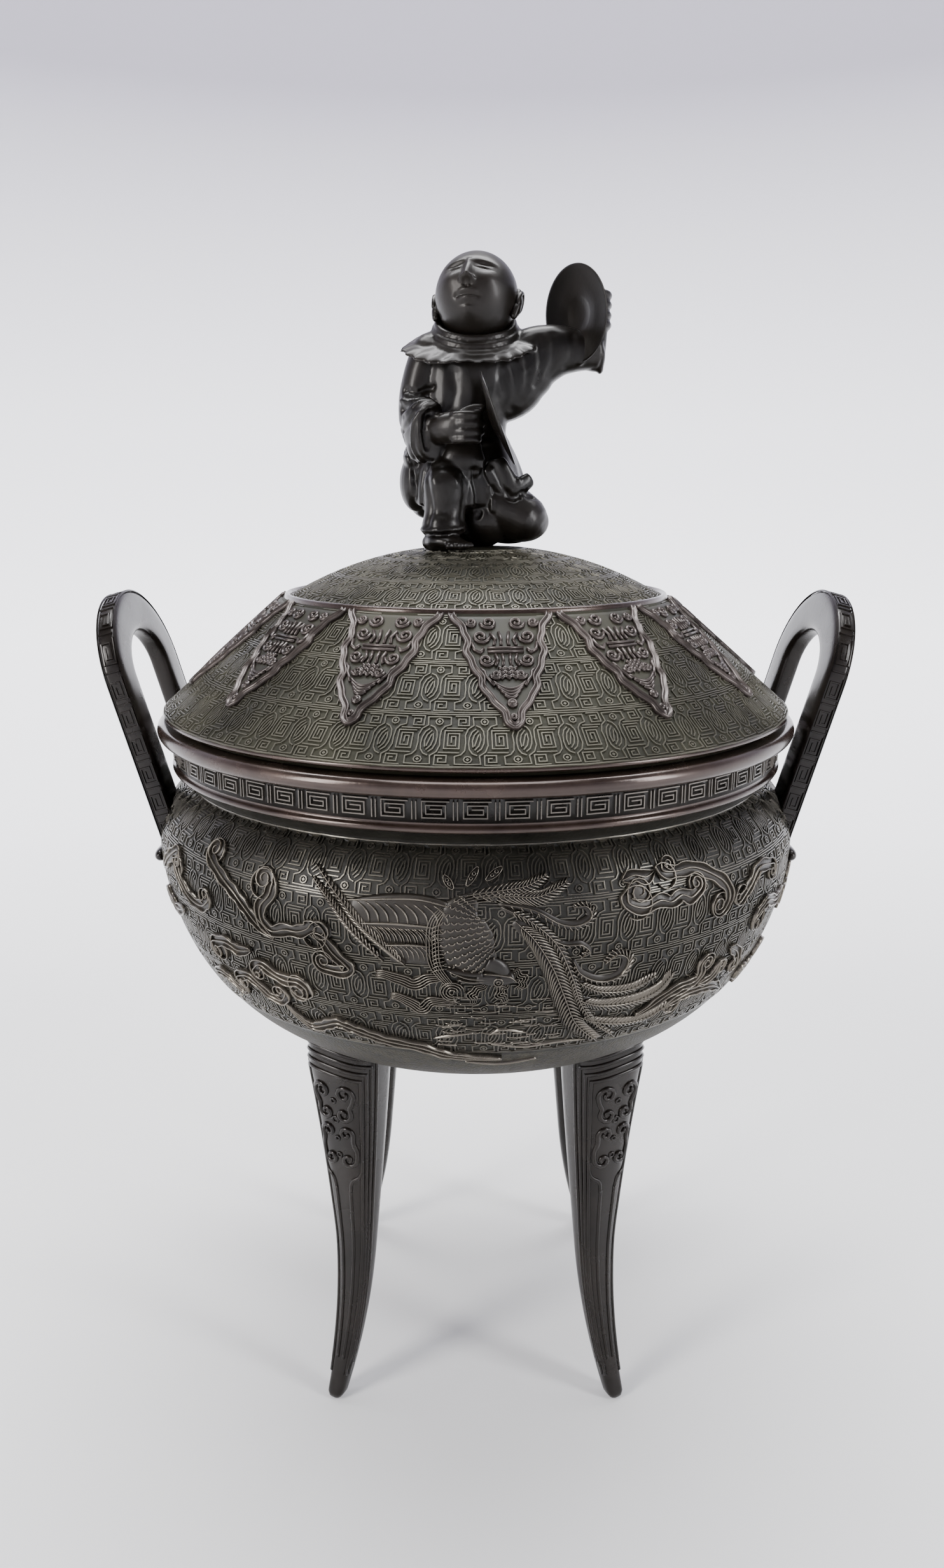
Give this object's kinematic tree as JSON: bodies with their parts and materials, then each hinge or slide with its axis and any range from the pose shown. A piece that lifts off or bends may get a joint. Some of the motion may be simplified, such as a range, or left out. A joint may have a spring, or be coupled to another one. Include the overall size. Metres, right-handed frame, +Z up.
{
  "type": "bronze incense burner",
  "caption": "Round bronze incense burner on tall cabriole legs, with upright loop handles and a conical lift-off lid topped by a kneeling cymbal player.",
  "frame": {"origin": "on the ground under the middle of the four feet", "axes": "+Z up along the turning axis of the bowl and lid, -Y towards the viewer, the side with the phoenix and the figure's face, +X towards the raised cymbal"},
  "size_m": [0.2468, 0.2184, 0.3833],
  "materials": {
    "patterned_bronze": "cast bronze with a dark olive-brown patina, worn brighter on the raised lines",
    "lid_bronze": "cast bronze with a dull olive-grey patina, greenish in the hollows",
    "smooth_bronze": "smooth cast bronze, dark brown patina with a low gloss",
    "figure_bronze": "smooth cast bronze, nearly black-brown patina, glossy where handled"
  },
  "bodies": {
    "root": {"bowl": "patterned_bronze", "lid": "lid_bronze", "finial_figure": "figure_bronze", "handle_left": "smooth_bronze", "handle_right": "smooth_bronze", "leg_front_left": "smooth_bronze", "leg_front_right": "smooth_bronze", "leg_back_left": "smooth_bronze", "leg_back_right": "smooth_bronze"}
  },
  "joints": []
}
